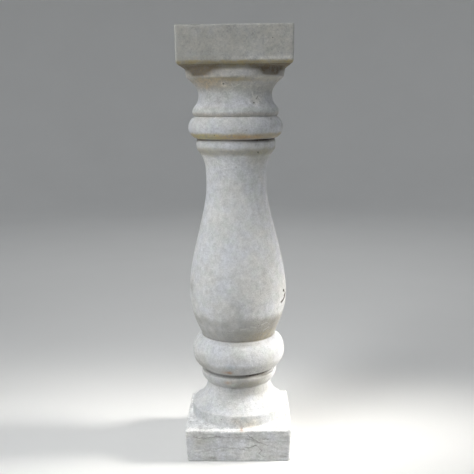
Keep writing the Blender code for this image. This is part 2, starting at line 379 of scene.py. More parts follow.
@dataclass(frozen=True)
class Shaft:
    """The turned shaft's mouldings, from the drum on the plinth to the fillet under the abacus.

    The sizes are the solid's own but for the heights of the scotia and the lip and the bead's
    radius and bow, which follow the photograph. Wear is the width of the bell that rounds the
    edges, and the hollow spread that of the bell that finds the hollows. The row length and the
    row turn say how close the rows stand, along the outline and where it turns.
    """

    foot: float = 0.0480
    drum_radius: float = 0.0705
    drum_height: float = 0.0182
    scotia_height: float = 0.0345
    scotia_neck: float = 0.0468
    scotia_toe_lean: float = 0.0058
    scotia_toe_rise: float = 0.0014
    scotia_pull: float = 0.59
    lip_projection: float = 0.0088
    lip_height: float = 0.0137
    lip_depth: float = 0.0130
    lip_face: float = 0.0027
    quirk_set_back: float = 0.0042
    quirk_height: float = 0.0043
    low_torus_projection: float = 0.0169
    low_torus_half_height: float = 0.0261
    low_torus_depth: float = 0.0215
    vase_set_back: float = 0.0150
    vase_flare: float = 0.45
    vase_pull: float = 0.25
    belly_rise: float = 0.0640
    belly_radius: float = 0.0711
    belly_pulls: tuple[float, float] = (0.45, 0.34)
    waist_rise: float = 0.1609
    waist_radius: float = 0.0432
    waist_pulls: tuple[float, float] = (0.27, 0.54)
    necking_rise: float = 0.0473
    necking_lean: float = 0.0093
    necking_drop: float = 0.19
    bead_radius: float = 0.0570
    bead_height: float = 0.0154
    bead_bow: float = 0.0013
    high_torus_radius: float = 0.0676
    high_torus_half_height: float = 0.0165
    high_torus_depth: float = 0.0157
    high_torus_set_backs: tuple[float, float] = (0.0138, 0.0095)
    ring_radius: float = 0.0616
    ring_height: float = 0.0130
    ring_bow: float = 0.0023
    collar_radius: float = 0.0523
    collar_rise: float = 0.0185
    collar_lean: float = 0.0045
    collar_toe_rise: float = 0.23
    collar_pull: float = 0.54
    cavetto_height: float = 0.0218
    cavetto_power: float = 1.85
    cavetto_set_back: float = 0.0008
    fillet_foot: float = 0.0692
    fillet_head: float = 0.0711
    fillet_foot_rise: float = 0.0010
    fillet_height: float = 0.0143
    wear: float = 0.0010
    rows: int = 268
    row_length: float = 0.0045
    row_turn: float = 0.30
    hollow_spread: float = 0.0045
    line_step: float = 0.0001

    @staticmethod
    def roll(foot: Array, radius: float, half: float, depth: float, backs: tuple) -> Array:
        """Draw a rounded moulding as part of an ellipse.

        Args:
            foot: The radius and height that it starts from.
            radius: Its greatest radius.
            half: Half of the ellipse's height.
            depth: Half of the ellipse's depth.
            backs: How far its foot and its head lie inside the greatest radius.

        Returns:
            The points, at radius - depth (1 - cos a) and middle + half sin a.
        """
        low, high = -math.acos(1 - backs[0] / depth), math.acos(1 - backs[1] / depth)
        angle = np.linspace(low, high, ROLL_POINTS)
        middle = foot[1] - half * math.sin(low)
        return np.stack(
            [radius - depth * (1 - np.cos(angle)), middle + half * np.sin(angle)], axis=1
        )

    @staticmethod
    def band(foot: Array, radius: float, bow: float, rise: float) -> Array:
        """Draw a band that bows out to a radius, as radius - bow (2t - 1)^2."""
        t = np.linspace(0, 1, BAND_POINTS)
        return np.stack([radius - bow * (2 * t - 1) ** 2, foot[1] + rise * t], axis=1)

    def base(self) -> Array:
        """Draw the drum, the scotia, the lip and the quirk above it, upward.

        Returns:
            Radius and height of the points.
        """
        drum = np.array([[self.drum_radius, self.foot]])
        drum = np.vstack([drum, drum + [0, self.drum_height]])
        neck = np.array([self.scotia_neck, drum[-1, 1] + self.scotia_height])
        pull = np.array([0, -self.scotia_pull * self.scotia_height])
        toe = np.array([-self.scotia_toe_lean, self.scotia_toe_rise])
        scotia = cubic(drum[-1], neck, toe, pull)
        reach = math.acos(1 - self.lip_projection / self.lip_depth)
        turn = np.linspace(reach, 0, ARC_POINTS)
        radius = self.scotia_neck + self.lip_projection
        rise = self.lip_height * (1 - np.sin(turn) / math.sin(reach))
        lip = np.stack([radius - self.lip_depth * (1 - np.cos(turn)), neck[1] + rise], axis=1)
        face = lip[-1] + [0, self.lip_face]
        quirk = face - [self.quirk_set_back, 0]
        return np.vstack([drum, scotia, lip, face, quirk, quirk + [0, self.quirk_height]])

    def vase(self, foot: Array) -> Array:
        """Draw the swelling body, from the lower torus to the bead.

        Args:
            foot: The radius and height that it starts from.

        Returns:
            Radius and height of the points.
        """
        rise = self.vase_pull * self.belly_rise
        belly = np.array([self.belly_radius, foot[1] + self.belly_rise])
        waist = np.array([self.waist_radius, belly[1] + self.waist_rise])
        head = np.array([self.bead_radius - self.bead_bow, waist[1] + self.necking_rise])
        low, high = (pull * size for pull, size in zip(self.belly_pulls, (
            self.belly_rise, self.waist_rise)))
        under, over = (pull * size for pull, size in zip(self.waist_pulls, (
            self.waist_rise, self.necking_rise)))
        drop = -self.necking_drop * self.necking_rise
        return np.vstack([
            cubic(foot, belly, np.array([self.vase_flare * rise, rise]), np.array([0, -low])),
            cubic(belly, waist, np.array([0, high]), np.array([0, -under])),
            cubic(waist, head, np.array([0, over]), np.array([-self.necking_lean, drop])),
        ])

    def cap(self, foot: Array) -> Array:
        """Draw the bead, the upper torus, the ring, the collar, the cavetto and the fillet.

        Args:
            foot: The radius and height that it starts from.

        Returns:
            Radius and height of the points.
        """
        bead = self.band(foot, self.bead_radius, self.bead_bow, self.bead_height)
        seat = np.array([self.high_torus_radius - self.high_torus_set_backs[0], bead[-1, 1]])
        torus = self.roll(seat, self.high_torus_radius, self.high_torus_half_height,
                          self.high_torus_depth, self.high_torus_set_backs)
        ring = self.band(torus[-1], self.ring_radius, self.ring_bow, self.ring_height)
        head = np.array([self.collar_radius, ring[-1, 1] + self.collar_rise])
        toe = np.array([-self.collar_lean, self.collar_toe_rise * self.collar_rise])
        collar = cubic(ring[-1], head, toe, np.array([0, -self.collar_pull * self.collar_rise]))
        t = np.linspace(0, 1, ARC_POINTS)
        flare = self.fillet_foot - self.cavetto_set_back - self.collar_radius
        cavetto = np.stack([self.collar_radius + flare * t**self.cavetto_power,
                            head[1] + self.cavetto_height * t], axis=1)
        low = cavetto[-1, 1] + self.fillet_foot_rise
        high = cavetto[-1, 1] + self.fillet_height
        fillet = np.array([[self.fillet_foot, low], [self.fillet_head, high]])
        return np.vstack([bead, seat, torus, ring, collar, cavetto, fillet])

    def outline(self) -> Array:
        """Draw the whole shaft's sharp outline, upward.

        Returns:
            Radius and height of points at an even spacing along it.
        """
        base = self.base()
        radius = base[-1, 0] + self.low_torus_projection
        torus = self.roll(base[-1], radius, self.low_torus_half_height, self.low_torus_depth,
                          (self.low_torus_projection, self.vase_set_back))
        vase = self.vase(torus[-1])
        line = np.vstack([base, torus, vase, self.cap(vase[-1])])
        length = np.hypot(*np.diff(line, axis=0).T)
        line = line[np.concatenate([[True], length > 1e-9])]
        run = np.concatenate([[0], np.cumsum(length[length > 1e-9])])
        even = np.arange(0, run[-1], self.line_step)
        return np.stack([np.interp(even, run, line[:, k]) for k in (0, 1)], axis=1)

    def profile(self) -> tuple[Array, Array]:
        """Round the outline's edges by wear, and choose the rows where it turns most.

        A row's weight is an even share plus the angle turned there. The depth is how far the
        outline, averaged over several millimetres, stands outside the worn one: it is positive
        in a hollow and negative on an edge.

        Returns:
            Radius and height of each row, and each row's depth.
        """
        sharp = self.outline()
        worn = soften(sharp, self.wear, self.line_step)
        along = np.gradient(worn, axis=0)
        along /= np.linalg.norm(along, axis=1)[:, None]
        outward = np.stack([along[:, 1], -along[:, 0]], axis=1)
        broad = soften(sharp, self.hollow_spread, self.line_step)
        depth = ((broad - worn) * outward).sum(axis=1)
        heading = np.unwrap(np.arctan2(along[:, 1], along[:, 0]))
        turned = abs(np.gradient(heading))
        weight = self.line_step / self.row_length + turned / self.row_turn
        share = np.concatenate([[0], np.cumsum(weight[1:])])
        pick = np.interp(np.linspace(0, share[-1], self.rows), share, np.arange(len(share)))
        rows = [np.interp(pick, np.arange(len(worn)), part) for part in (*worn.T, depth)]
        return np.stack(rows[:2], axis=1), rows[2]


# Wear and staining


@dataclass(frozen=True)
class BrokenCorner:
    """A block's corner lost along a plane square to its diagonal, with a rough face."""

    block: Block
    side_x: int
    side_y: int
    end: End
    loss: float
    rough: float = 0.0004
    wavelength: float = 0.004

    def cut(self, points: Array) -> tuple[Array, Array]:
        """Press points beyond the broken face back to it, with a rough surface.

        Args:
            points: Places, three coordinates to a row.

        Returns:
            The moved points, and how broken each is, from 0 to 1.
        """
        top = self.end is End.TOP
        half = (self.block.top_width if top else self.block.foot_width) / 2
        level = self.block.top if top else self.block.foot
        tip = np.array([self.side_x * half, self.side_y * half, level])
        outward = np.array([self.side_x, self.side_y, self.end.value]) / math.sqrt(3)
        rough = self.rough * drift(points, self.wavelength, Seed.CORNER, 2)
        beyond = (points - tip) @ outward + self.loss + rough
        beyond = np.where(np.linalg.norm(points - tip, axis=1) < 4 * self.loss, beyond, -1)
        moved = points - np.clip(beyond, 0, None)[:, None] * outward
        return moved, ease(beyond, -0.0002, 0.0006)


@dataclass(frozen=True)
class Dent:
    """A chip, pit or lump: a round patch of the front moved in, or out if depth is negative."""

    x: float
    z: float
    radius: float
    depth: float
    ragged: float = 0.35
    wide: float = 1.0

    def shape(self, points: Array) -> Array:
        """Give how far inside the patch each point is, from 0 at its rim to 1 at its middle.

        It is (1 - d^2)^1.5 of the distance in patch radii, with a rim that noise makes ragged.

        Args:
            points: Places, three coordinates to a row.

        Returns:
            Numbers from 0 to 1.
        """
        dx = (points[:, 0] - self.x) / self.wide
        dz = points[:, 2] - self.z
        rim = 1 + self.ragged * drift(points, self.radius * 0.8, Seed.DENT, 2)
        distance = np.hypot(dx, dz) / (self.radius * rim)
        return np.where(points[:, 1] < 0, np.clip(1 - distance**2, 0, 1) ** 1.5, 0)


@dataclass(frozen=True)
class Ledge:
    """A broken skin on a block's front: the stone below a wandering line is set back."""

    line: tuple[tuple[float, float], ...]
    depth: float
    fade: float
    lip: float = 0.0014
    wander: float = 0.0012
    wavelength: float = 0.006
    run_out: float = 0.008
    front: tuple[float, float] = (0.060, 0.068)

    def shape(self, points: Array) -> Array:
        """Give how deep each point lies below the line, from 0 to 1.

        It is 1 just under the line's lip and fades out evenly below, and over the run-out to
        both of the line's ends.

        Args:
            points: Places, three coordinates to a row.

        Returns:
            Numbers from 0 to 1.
        """
        xs, zs = (np.array(part) for part in zip(*self.line))
        x = points[:, 0]
        wander = self.wander * drift(points, self.wavelength, Seed.LEDGE, 2)
        level = np.interp(x, xs, zs) + wander
        below = level - points[:, 2]
        ends = ease(x, xs[0], xs[0] + self.run_out) * ease(x, xs[-1], xs[-1] - self.run_out)
        front = ease(-points[:, 1], *self.front)
        return ease(below, 0, self.lip) * np.clip(1 - below / self.fade, 0, 1) * ends * front


SILL_SOFT = 0.0006
EDGE_WAVE = 0.012  # wavelengths of a stain's wandering edge and of its mottle
MOTTLE_WAVE = 0.010


# Some bands are real staining, and others are painted light and shade.
@dataclass(frozen=True)
class ColourBand:
    """Colour laid on the stone in a band of heights, all round or about one bearing.

    The bearing and the spread are in degrees, and the sill is a height below which it stops.
    """

    low: float
    high: float
    colour: Colour
    strength: float
    soft: float = 0.0020
    reach: Reach = Reach.ALL_ROUND
    bearing: float = 0.0
    spread: float = 40.0
    mottle: float = 0.35
    sill: float = -1.0

    def cover(self, points: Array, bearing: Array) -> Array:
        """Give how strongly the band covers each point.

        Its two edges are eased over the soft width and wander with noise, and the sill cuts it
        off sharply. About one bearing it falls off as a bell of the angle, and the mottle thins
        it in patches.

        Args:
            points: Places, three coordinates to a row.
            bearing: Each point's angle from the front, in degrees, to the right.

        Returns:
            Numbers from 0 to 1.
        """
        seed = int(self.low * 1e4)
        level = points[:, 2] + 0.5 * self.soft * drift(points, EDGE_WAVE, seed, 2)
        cover = ease(level, self.low - self.soft, self.low + self.soft)
        cover = cover * ease(level, self.high + self.soft, self.high - self.soft)
        cover = cover * ease(points[:, 2], self.sill - SILL_SOFT, self.sill + SILL_SOFT)
        if self.reach is Reach.ONE_SIDE:
            away = (bearing - self.bearing + 180) % 360 - 180
            cover = cover * np.exp(-0.5 * (away / self.spread) ** 2)
        patches = 1 - self.mottle * (0.5 + 0.5 * drift(points, MOTTLE_WAVE, seed + 5, 3))
        return np.clip(self.strength * cover * patches, 0, 1)


@dataclass(frozen=True)
class Spot:
    """A small stain about a point on the front."""

    x: float
    z: float
    radius: float
    colour: Colour
    strength: float
    tall: float = 1.0

    def cover(self, points: Array, bearing: Array) -> Array:
        """Give how strongly the spot covers each point, as a bell with a ragged rim.

        Args:
            points: Places, three coordinates to a row.
            bearing: Each point's angle from the front, in degrees.

        Returns:
            Numbers from 0 to 1.
        """
        ragged = 1 + 0.4 * drift(points, max(self.radius, 0.002), Seed.SPOT, 2)
        dx = points[:, 0] - self.x
        dz = (points[:, 2] - self.z) / self.tall
        distance = np.hypot(dx, dz) / (self.radius * ragged)
        return np.where(abs(bearing) < 90, self.strength * np.exp(-(distance**2)), 0)


@dataclass(frozen=True)
class ShadowAndDirtUnderBlock:
    """Painted shadow and unwashed soiling under a block, further down where the block juts out
    more.
    """

    half_width: float
    level: float
    drop: float
    slope: float
    colour: Colour
    strength: float
    wander: float = 0.0010
    wavelength: float = 0.008
    fade: tuple[float, float] = (-0.0030, 0.0040)
    edge: float = 0.0010
    above: float = 0.0005

    def cover(self, points: Array, bearing: Array) -> Array:
        """Give how strongly the painted shadow and soiling cover each point.

        It reaches down by slope times how much further than its least the block reaches in
        that direction, with a faded edge that wanders, and it ends at the drop.

        Args:
            points: Places, three coordinates to a row.
            bearing: Each point's angle from the front, in degrees.

        Returns:
            Numbers from 0 to 1.
        """
        away = (bearing + 45) % 90 - 45
        shade = self.slope * self.half_width * (1 / np.cos(np.radians(away)) - 1)
        below = self.level - points[:, 2]
        wander = self.wander * drift(points, self.wavelength, Seed.UNDER_BLOCK, 2)
        cover = ease(shade + wander - below, *self.fade)
        cover = cover * ease(below, self.drop, self.drop - self.edge)
        return np.where(below > -self.above, self.strength * cover, 0)


PAINTED_LIGHT_WHITE = (0.86, 0.86, 0.85)
CREAM = (0.78, 0.76, 0.71)
SAND = (0.52, 0.485, 0.42)
BEIGE = (0.385, 0.375, 0.335)
HONEY = (0.47, 0.385, 0.225)
CLAY = (0.54, 0.45, 0.325)
SLATE = (0.235, 0.225, 0.200)
MOSS = (0.43, 0.40, 0.20)
BLUE = (0.36, 0.40, 0.44)
GREY = (0.36, 0.36, 0.35)
DRAB = (0.30, 0.29, 0.26)
OCHRE = (0.31, 0.25, 0.115)
OLIVE = (0.22, 0.21, 0.14)
UMBER = (0.10, 0.078, 0.052)
BROWN = (0.135, 0.105, 0.070)
RUST = (0.34, 0.19, 0.10)
TAN = (0.48, 0.42, 0.335)
LILAC = (0.57, 0.57, 0.62)
GREEN = (0.49, 0.53, 0.48)
PAINTED_SHADE_BLACK = (0.035, 0.030, 0.025)


@dataclass(frozen=True)
class Weather:
    """All the wear, staining and painted light and shade: what the skin loses and what colours it.
    """

    corners: tuple[BrokenCorner, ...]
    ledges: tuple[Ledge, ...]
    dents: tuple[Dent, ...]
    colourings: tuple[ColourBand | Spot | ShadowAndDirtUnderBlock, ...]
    swell: float = 0.00018
    swell_length: float = 0.040
    ripple: float = 0.00014
    ripple_length: float = 0.008
    arris_loss: float = 0.0013
    arris_width: float = 0.0024
    chip_length: float = 0.009
    even_loss: float = 0.05
    spall: float = 0.00080
    flake_length: float = 0.0055
    flake_stretch: tuple[float, float, float] = (0.35, 0.35, 1.0)
    flake_middle: float = 0.45

    def erode(self, points: Array, normals: Array, edge: Array, plinth: Array) -> Array:
        """Move the skin's points along their normals by all the wear.

        The move is a slow swell, a fine ripple, chips along the arrises where noise is high,
        flakes drawn out along the plinth's sides, and the ledges and dents.

        Args:
            points: Places, three coordinates to a row.
            normals: Outward directions, three numbers to a row.
            edge: How near an arris each point is, from 0 to 1.
            plinth: How much each point belongs to the plinth's sides, from 0 to 1.

        Returns:
            The moved points.
        """
        swell = self.swell * drift(points, self.swell_length, Seed.SWELL, 2)
        move = swell + self.ripple * drift(points, self.ripple_length, Seed.RIPPLE, 2)
        chip = ease(drift(points, self.chip_length, Seed.CHIP, 3), 0.10, 0.80)
        move = move - self.arris_loss * edge * (self.even_loss + chip)
        flat = points * np.array(self.flake_stretch)
        flake = 1 - abs(drift(flat, self.flake_length, Seed.FLAKE, 2))
        flake = ease(flake, self.flake_middle, 1.0) - self.flake_middle
        move = move - self.spall * plinth * flake
        for ledge in self.ledges:
            move = move - ledge.depth * ledge.shape(points)
        for dent in self.dents:
            move = move - dent.depth * dent.shape(points)
        return points + normals * move[:, None]

    def colours(self, points: Array) -> Array:
        """Lay the stained bands, the spots and the painted light and shade over one another in
        order.

        Each layer hides what is under it by its cover: c = c (1 - k) + layer k, and the whole
        cover grows as a + k (1 - a).

        Args:
            points: Places, three coordinates to a row.

        Returns:
            Red, green, blue and cover for each row.
        """
        bearing = np.degrees(np.arctan2(points[:, 0], -points[:, 1]))
        laid = np.zeros((len(points), 3))
        cover = np.zeros(len(points))
        for colouring in self.colourings:
            layer = colouring.cover(points, bearing)
            laid = laid * (1 - layer)[:, None] + np.array(colouring.colour) * layer[:, None]
            cover = cover + layer * (1 - cover)
        return np.column_stack([laid / np.maximum(cover, 1e-6)[:, None], cover])


# Materials


class Sock:
    """A node's output that adds Math nodes when it meets an operator."""

    def __init__(self, graph: "Graph", socket: bpy.types.NodeSocket) -> None:
        """Keep the socket and the graph that it is in."""
        self.graph = graph
        self.socket = socket

    def _math(self, operation: str, *values: object) -> "Sock":
        """Add one Math node on these values."""
        return self.graph.out("ShaderNodeMath", {"operation": operation}, dict(enumerate(values)))

    def __add__(self, other: object) -> "Sock":
        """self + other."""
        return self._math("ADD", self, other)

    def __sub__(self, other: object) -> "Sock":
        """self - other."""
        return self._math("SUBTRACT", self, other)

    def __rsub__(self, other: object) -> "Sock":
        """other - self."""
        return self._math("SUBTRACT", other, self)

    def __mul__(self, other: object) -> "Sock":
        """self * other."""
        return self._math("MULTIPLY", self, other)

    def __abs__(self) -> "Sock":
        """self without its sign."""
        return self._math("ABSOLUTE", self)

    def least(self, other: object) -> "Sock":
        """The lesser of the two."""
        return self._math("MINIMUM", self, other)

    def most(self, other: object) -> "Sock":
        """The greater of the two."""
        return self._math("MAXIMUM", self, other)

    __radd__ = __add__
    __rmul__ = __mul__

    def clip(self) -> "Sock":
        """self, kept from 0 to 1."""
        return self.graph.out("ShaderNodeClamp", {}, {0: self})

    def ease(self, low: float, high: float) -> "Sock":
        """Rise smoothly from 0 at low to 1 at high."""
        settings = {"interpolation_type": "SMOOTHSTEP"}
        return self.graph.out("ShaderNodeMapRange", settings, {0: self, 1: low, 2: high})


class Noise(NamedTuple):
    """A noise texture's cycles to the metre, its detail and its roughness."""

    cycles: float
    detail: float
    rough: float = 0.55


class Graph:
    """A material's node tree, built from its shader backwards."""

    def __init__(self, name: str) -> None:
        """Make the material with its one shader."""
        self.material = bpy.data.materials.new(name)
        self.material.use_nodes = True
        self.tree = self.material.node_tree
        self.shader = self.tree.nodes["Principled BSDF"]

    def add(self, kind: str, settings: dict, sockets: dict) -> bpy.types.Node:
        """Add a node.

        Args:
            kind: The node's type.
            settings: Its properties, set first. "stops" gives a ramp's places and colours.
            sockets: Values or links by the input's name or number.

        Returns:
            The node.
        """
        node = self.tree.nodes.new(kind)
        for name, value in settings.items():
            if name == "stops":
                for index, (place, colour) in enumerate(value):
                    stops = node.color_ramp.elements
                    stop = stops[index] if index < 2 else stops.new(place)
                    stop.position, stop.color = place, (*colour, 1.0)
            else:
                setattr(node, name, value)
        for key, value in sockets.items():
            self.set(node.inputs[key], value)
        return node

    def set(self, entry: bpy.types.NodeSocket, value: object) -> None:
        """Link a socket's input, or set its value."""
        if isinstance(value, Sock):
            self.tree.links.new(value.socket, entry)
        elif isinstance(value, tuple) and entry.type == "RGBA":
            entry.default_value = (*value, 1.0)
        else:
            entry.default_value = value

    def out(self, kind: str, settings: dict, sockets: dict, result: object = 0) -> Sock:
        """Add a node and give one of its outputs."""
        return Sock(self, self.add(kind, settings, sockets).outputs[result])

    def vector(self, operation: str, *values: object, result: str = "Vector") -> Sock:
        """Add a Vector Math node on these values."""
        settings = {"operation": operation}
        return self.out("ShaderNodeVectorMath", settings, dict(enumerate(values)), result)

    def noise(self, place: Sock, kind: Noise) -> Sock:
        """Noise from 0 to 1."""
        sockets = {"Vector": place, "Scale": kind.cycles, "Detail": kind.detail,
                   "Roughness": kind.rough}
        return self.out("ShaderNodeTexNoise", {}, sockets, "Fac")

    def grey(self, level: Sock) -> Sock:
        """A grey of this level."""
        return self.out("ShaderNodeCombineColor", {}, {0: level, 1: level, 2: level})

    def mix(self, share: object, under: object, over: object, way: str = "MIX") -> Sock:
        """Lay one colour over another by a share."""
        settings = {"data_type": "RGBA", "blend_type": way}
        return self.out("ShaderNodeMix", settings, {0: share, 6: under, 7: over}, 2)

    def dress(self, sockets: dict) -> bpy.types.Material:
        """Set the shader's own sockets and give the material."""
        for name, value in sockets.items():
            self.set(self.shader.inputs[name], value)
        return self.material


@dataclass(frozen=True)
class Mark:
    """A small mark laid on from a bearing: a pit at one point, or a line through several.

    Its points are places across and up as they are seen from that bearing, in degrees to the
    right of the front.
    """

    line: tuple[tuple[float, float], ...]
    half_width: float
    strength: float
    bearing: float = 0.0
    rim: float = 0.8

    def gap(self, g: Graph, flat: Sock) -> Sock:
        """Measure how far a place is from the mark, seen from its bearing.

        For each piece of the line from a to b it is |p - a - t (b - a)|, where t is
        (p - a).(b - a) / |b - a|^2 kept from 0 to 1, and the least of them counts.

        Args:
            g: The graph to add to.
            flat: The place turned to the mark's bearing, with its depth taken out.

        Returns:
            The distance.
        """
        ends = [Vector((x, 0.0, z)) for x, z in self.line]
        if len(ends) == 1:
            return g.vector("DISTANCE", flat, tuple(ends[0]), result="Value")
        nearest = None
        for start, end in zip(ends, ends[1:]):
            run = end - start
            away = g.vector("SUBTRACT", flat, tuple(start))
            along = g.vector("DOT_PRODUCT", away, tuple(run), result="Value")
            share = (along * (1 / run.length_squared)).clip()
            foot = g.out("ShaderNodeVectorMath", {"operation": "SCALE"},
                         {0: tuple(run), "Scale": share})
            gap = g.vector("DISTANCE", away, foot, result="Value")
            nearest = gap if nearest is None else nearest.least(gap)
        return nearest

    def cover(self, g: Graph, flat: Sock) -> Sock:
        """Give how strongly the mark covers a place, soft at its rim."""
        inside = self.half_width - self.gap(g, flat)
        return self.strength * inside.ease(0.0, self.rim * self.half_width)


@dataclass(frozen=True)
class WeatheredStone:
    """Pale cast stone: sandy grain, blown pin-holes, faint tints, stained bands, soiling, painted
    light and shade, and marks.
    """

    cracks: tuple[Mark, ...] = ()
    scratches: tuple[Mark, ...] = ()
    cool: Colour = (0.585, 0.596, 0.625)
    warm: Colour = (0.588, 0.583, 0.568)
    green: Colour = (0.545, 0.570, 0.545)
    bleached: Colour = (0.78, 0.77, 0.74)
    grime_and_shade: Colour = (0.085, 0.072, 0.052)
    crack_tint: Colour = (0.110, 0.100, 0.085)
    roughness: float = 0.86
    warmth: Noise = Noise(27, 2)
    greenness: Noise = Noise(70, 3)
    patch: Noise = Noise(38, 4)
    mottle: Noise = Noise(150, 5, 0.6)
    speck: Noise = Noise(430, 4, 0.65)
    grain: Noise = Noise(1300, 2, 0.6)
    lines: Noise = Noise(75, 4, 0.6)
    ridges: Noise = Noise(52, 5, 0.62)
    broken: Noise = Noise(260, 5, 0.65)
    wander_cycles: float = 330.0
    wander_width: float = 0.0034
    facing: tuple[float, float] = (-0.012, -0.020)
    bump_strength: float = 0.9
    bump_depth: float = 0.0016
    hole_cycles: float = 140.0
    hole_rarity: float = 0.86
    hole_size: float = 0.75

    def material(self) -> bpy.types.Material:
        """Build the stone's material.

        The stone's tints mix by broad noise, and mottle, specks and sand grains shade them.
        The stained bands and the bands of painted light and shade lie under that shading, and over
        it come the pale worn edges, soiling and painted shade in hollows, the pin-holes, the
        scratches and the cracks.

        Returns:
            The material.
        """
        g = Graph("weathered stone")
        place = g.out("ShaderNodeTexCoord", {}, {}, "Object")
        colouring = g.add("ShaderNodeAttribute", {"attribute_name": "colouring"}, {})
        colouring_colour, colouring_cover = (Sock(g, colouring.outputs[n]) for n in ("Color", "Alpha"))
        hollow, edge, rough = (
            g.out("ShaderNodeAttribute", {"attribute_name": name}, {}, "Fac")
            for name in ("hollow", "edge", "rough")
        )
        kinds = (self.patch, self.mottle, self.speck, self.grain)
        patch, mottle, speck, grain = (g.noise(place, kind) for kind in kinds)
        lines = g.noise(g.vector("MULTIPLY", place, (1.0, 1.0, 6.0)), self.lines)

        base = g.mix(g.noise(place, self.warmth).ease(0.30, 0.70), self.cool, self.warm)
        base = g.mix(0.6 * g.noise(place, self.greenness).ease(0.45, 0.70), base, self.green)
        blotch = 0.30 * mottle.ease(0.34, 0.66) + 0.26 * speck.ease(0.34, 0.66)
        base = g.mix(colouring_cover * (0.72 + blotch), base, colouring_colour)
        tone = 0.52 * mottle + 0.60 * speck + 0.22 * patch + 0.30 * grain - 0.82
        shade = 1.03 + (1.10 + 0.9 * colouring_cover) * tone
        base = g.mix(1.0, base, g.grey(shade), "MULTIPLY")
        worn = (edge * (0.35 + mottle)).ease(0.25, 0.85)
        base = g.mix(0.50 * worn, base, self.bleached)
        # Painted shade with grime in the hollows and at the shaft's seat on the plinth.
        hollow_shade_and_grime = (hollow * (0.5 + mottle)).ease(0.18, 0.95)
        base = g.mix(0.92 * hollow_shade_and_grime, base, self.grime_and_shade)
        holes = self.pin_holes(g, place)
        base = g.mix(0.70 * holes, base, self.grime_and_shade)

        sockets = {"Vector": place, "Scale": self.wander_cycles}
        wander = g.out("ShaderNodeTexNoise", {}, sockets, "Color")
        wander = g.vector("SUBTRACT", wander, (0.5, 0.5, 0.5))
        wander = g.vector("MULTIPLY", wander, (self.wander_width,) * 3)
        moved = g.vector("ADD", place, wander)
        cracks = self.together(g, moved, self.cracks)
        scratches = self.together(g, moved, self.scratches)
        base = g.mix(scratches, base, self.bleached)
        base = g.mix(cracks, base, self.crack_tint)

        flat = g.vector("MULTIPLY", place, (1.0, 1.0, 3.2))
        ridge = 1 - 5.0 * abs(g.noise(flat, self.ridges) - 0.5)
        wrinkle = rough * ridge.ease(0.55, 1.0)
        base = g.mix(0.14 * wrinkle, base, self.grime_and_shade)
        relief = 0.50 * mottle + 0.30 * speck + 0.20 * grain + 0.30 * patch + 0.25 * lines
        relief = relief - 0.9 * holes - 0.8 * cracks - 0.25 * scratches
        relief = relief + rough * (0.5 * g.noise(place, self.broken)) - 0.40 * wrinkle
        bump = g.out("ShaderNodeBump", {}, {
            "Strength": self.bump_strength, "Distance": self.bump_depth, "Height": relief})
        return g.dress({
            "Base Color": base, "Normal": bump, "Roughness": self.roughness + 0.1 * (mottle - 0.5),
            "Specular IOR Level": 0.28,
        })

    def together(self, g: Graph, place: Sock, marks: tuple[Mark, ...]) -> Sock:
        """Give the strongest cover of several marks, each on the side that faces its bearing.

        Args:
            g: The graph to add to.
            place: Where on the stone.
            marks: The marks.

        Returns:
            The cover, from 0 to 1.
        """
        strongest = None
        for bearing in sorted({mark.bearing for mark in marks}):
            turned = g.out("ShaderNodeVectorRotate", {"rotation_type": "Z_AXIS"},
                           {"Vector": place, "Angle": -math.radians(bearing)})
            facing = g.out("ShaderNodeSeparateXYZ", {}, {0: turned}, "Y").ease(*self.facing)
            flat = g.vector("MULTIPLY", turned, (1.0, 0.0, 1.0))
            for mark in marks:
                if mark.bearing == bearing:
                    cover = facing * mark.cover(g, flat)
                    strongest = cover if strongest is None else strongest.most(cover)
        return strongest

    def pin_holes(self, g: Graph, place: Sock) -> Sock:
        """Scatter air holes: a small disc about some of the points of a scattered pattern.

        A hole's size grows with how far its point's random number passes the rarity.

        Args:
            g: The graph to add to.
            place: Where on the stone.

        Returns:
            1 in a hole and 0 outside.
        """
        cell = g.add("ShaderNodeTexVoronoi", {}, {"Vector": place, "Scale": self.hole_cycles})
        distance, tint = (Sock(g, cell.outputs[n]) for n in ("Distance", "Color"))
        chance = g.out("ShaderNodeSeparateColor", {}, {0: tint}, 0)
        size = (chance - self.hole_rarity) * self.hole_size
        return (size - distance).ease(-0.02, 0.03)


@dataclass(frozen=True)
class PaleFloor:
    """The studio floor's plain pale matt finish."""

    colour: Colour = (0.70, 0.70, 0.69)
    roughness: float = 0.9
    unevenness: Noise = Noise(3, 2)

    def material(self) -> bpy.types.Material:
        """Build the floor's material: one pale colour with a faint unevenness."""
        g = Graph("pale floor")
        place = g.out("ShaderNodeTexCoord", {}, {}, "Object")
        faint = 0.97 + 0.06 * g.noise(place, self.unevenness)
        base = g.mix(1.0, self.colour, g.grey(faint), "MULTIPLY")
        return g.dress({"Base Color": base, "Roughness": self.roughness})


# Building


